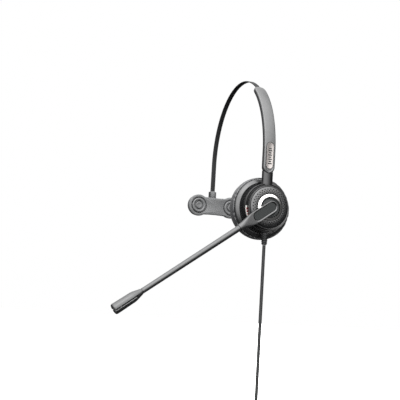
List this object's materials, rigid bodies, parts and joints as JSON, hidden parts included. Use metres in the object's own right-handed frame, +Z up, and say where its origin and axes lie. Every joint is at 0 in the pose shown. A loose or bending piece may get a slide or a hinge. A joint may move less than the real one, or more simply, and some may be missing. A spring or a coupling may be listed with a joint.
{
  "type": "office headset",
  "caption": "Single-ear office headset: spring headband with a temple bar, swivelling ear cushion, turning boom microphone, and a hanging cord coiled down to its plug.",
  "frame": {"origin": "middle of the wearer's head on the axis of the earpiece, which is where the mount head is", "axes": "+X outwards through the earpiece (the wearer's left in the picture), -Y towards the wearer's front, +Z up"},
  "size_m": [0.1495, 0.1763, 0.4167],
  "materials": {
    "satin_plastic": "satin moulded",
    "matte_plastic": "fine matte",
    "grey_plastic": "fine grained",
    "pad_rubber": "soft matte",
    "spring_steel": "black oxide",
    "silver_trim": "bright",
    "bright_metal": "bright",
    "plate_metal": "brushed",
    "contact_metal": "bright",
    "leatherette": "soft grain",
    "cord_jacket": "satin",
    "foam": "open cell",
    "board": "solder mask",
    "label": "printed film",
    "driver_film": "clear film"
  },
  "bodies": {
    "headband": {"band_strip": "spring_steel", "housing_outer_shell": "satin_plastic", "housing_inner_shell": "matte_plastic", "housing_screw_1": "spring_steel", "housing_screw_2": "spring_steel", "name_plate": "plate_metal", "detent_spring": "spring_steel", "strip_end_block": "grey_plastic"},
    "temple_bar": {"temple_bar_frame": "satin_plastic", "temple_bar_facing": "pad_rubber", "round_pad_front": "pad_rubber", "round_pad_rear": "pad_rubber", "temple_bar_pin": "spring_steel"},
    "arm": {"ratchet_tongue": "spring_steel", "tongue_pin": "spring_steel", "yoke": "satin_plastic", "yoke_cover": "matte_plastic", "wiring_board": "board", "ball_stud": "bright_metal", "side_label": "label", "strain_relief": "cord_jacket", "cord_lead": "cord_jacket", "cord_coil": "cord_jacket", "cord_tail": "cord_jacket", "cord_tie": "matte_plastic", "plug_boot": "cord_jacket", "plug_shell_outer": "satin_plastic", "plug_shell_inner": "satin_plastic", "plug_insert": "matte_plastic", "plug_contact_1": "contact_metal", "plug_contact_2": "contact_metal", "plug_contact_3": "contact_metal", "plug_contact_4": "contact_metal"},
    "liner": {"ball_liner": "pad_rubber"},
    "earpiece": {"earpiece_shell": "satin_plastic", "ball_retainer": "matte_plastic", "baffle": "matte_plastic", "driver_basket": "spring_steel", "driver_magnet": "bright_metal", "driver_diaphragm": "driver_film", "ear_screen": "foam", "ear_cushion": "leatherette"},
    "boom": {"drum_base": "satin_plastic", "pivot_clip": "spring_steel", "friction_washer": "pad_rubber", "drum_dome": "grey_plastic", "trim_ring": "silver_trim", "hub_disc": "satin_plastic", "hub_screw": "spring_steel", "boom_arm": "satin_plastic", "boom_inlay": "grey_plastic", "boom_tube": "satin_plastic", "mic_shell_upper": "matte_plastic", "mic_shell_lower": "matte_plastic", "mic_element": "bright_metal", "mic_screen": "foam"}
  },
  "joints": [
    {"name": "band_slide", "type": "slide", "parent": "headband", "child": "arm", "axis": [0, 0, -1], "range_m": [0, 0.022]},
    {"name": "bar_tilt", "type": "hinge", "parent": "headband", "child": "temple_bar", "pos_m": [-0.0658, 0, 0.022], "axis": [0, 1, 0], "range_deg": [-10, 10]},
    {"name": "ear_swivel", "type": "hinge", "parent": "arm", "child": "liner", "pos_m": [0.0574, 0, 0], "axis": [0, 0, 1], "range_deg": [-10, 10]},
    {"name": "ear_tilt", "type": "hinge", "parent": "liner", "child": "earpiece", "pos_m": [0.0574, 0, 0], "axis": [0, 1, 0], "range_deg": [-6, 6]},
    {"name": "boom_turn", "type": "hinge", "parent": "arm", "child": "boom", "pos_m": [0.0673, 0, 0], "axis": [1, 0, 0], "range_deg": [-95, 205]}
  ]
}
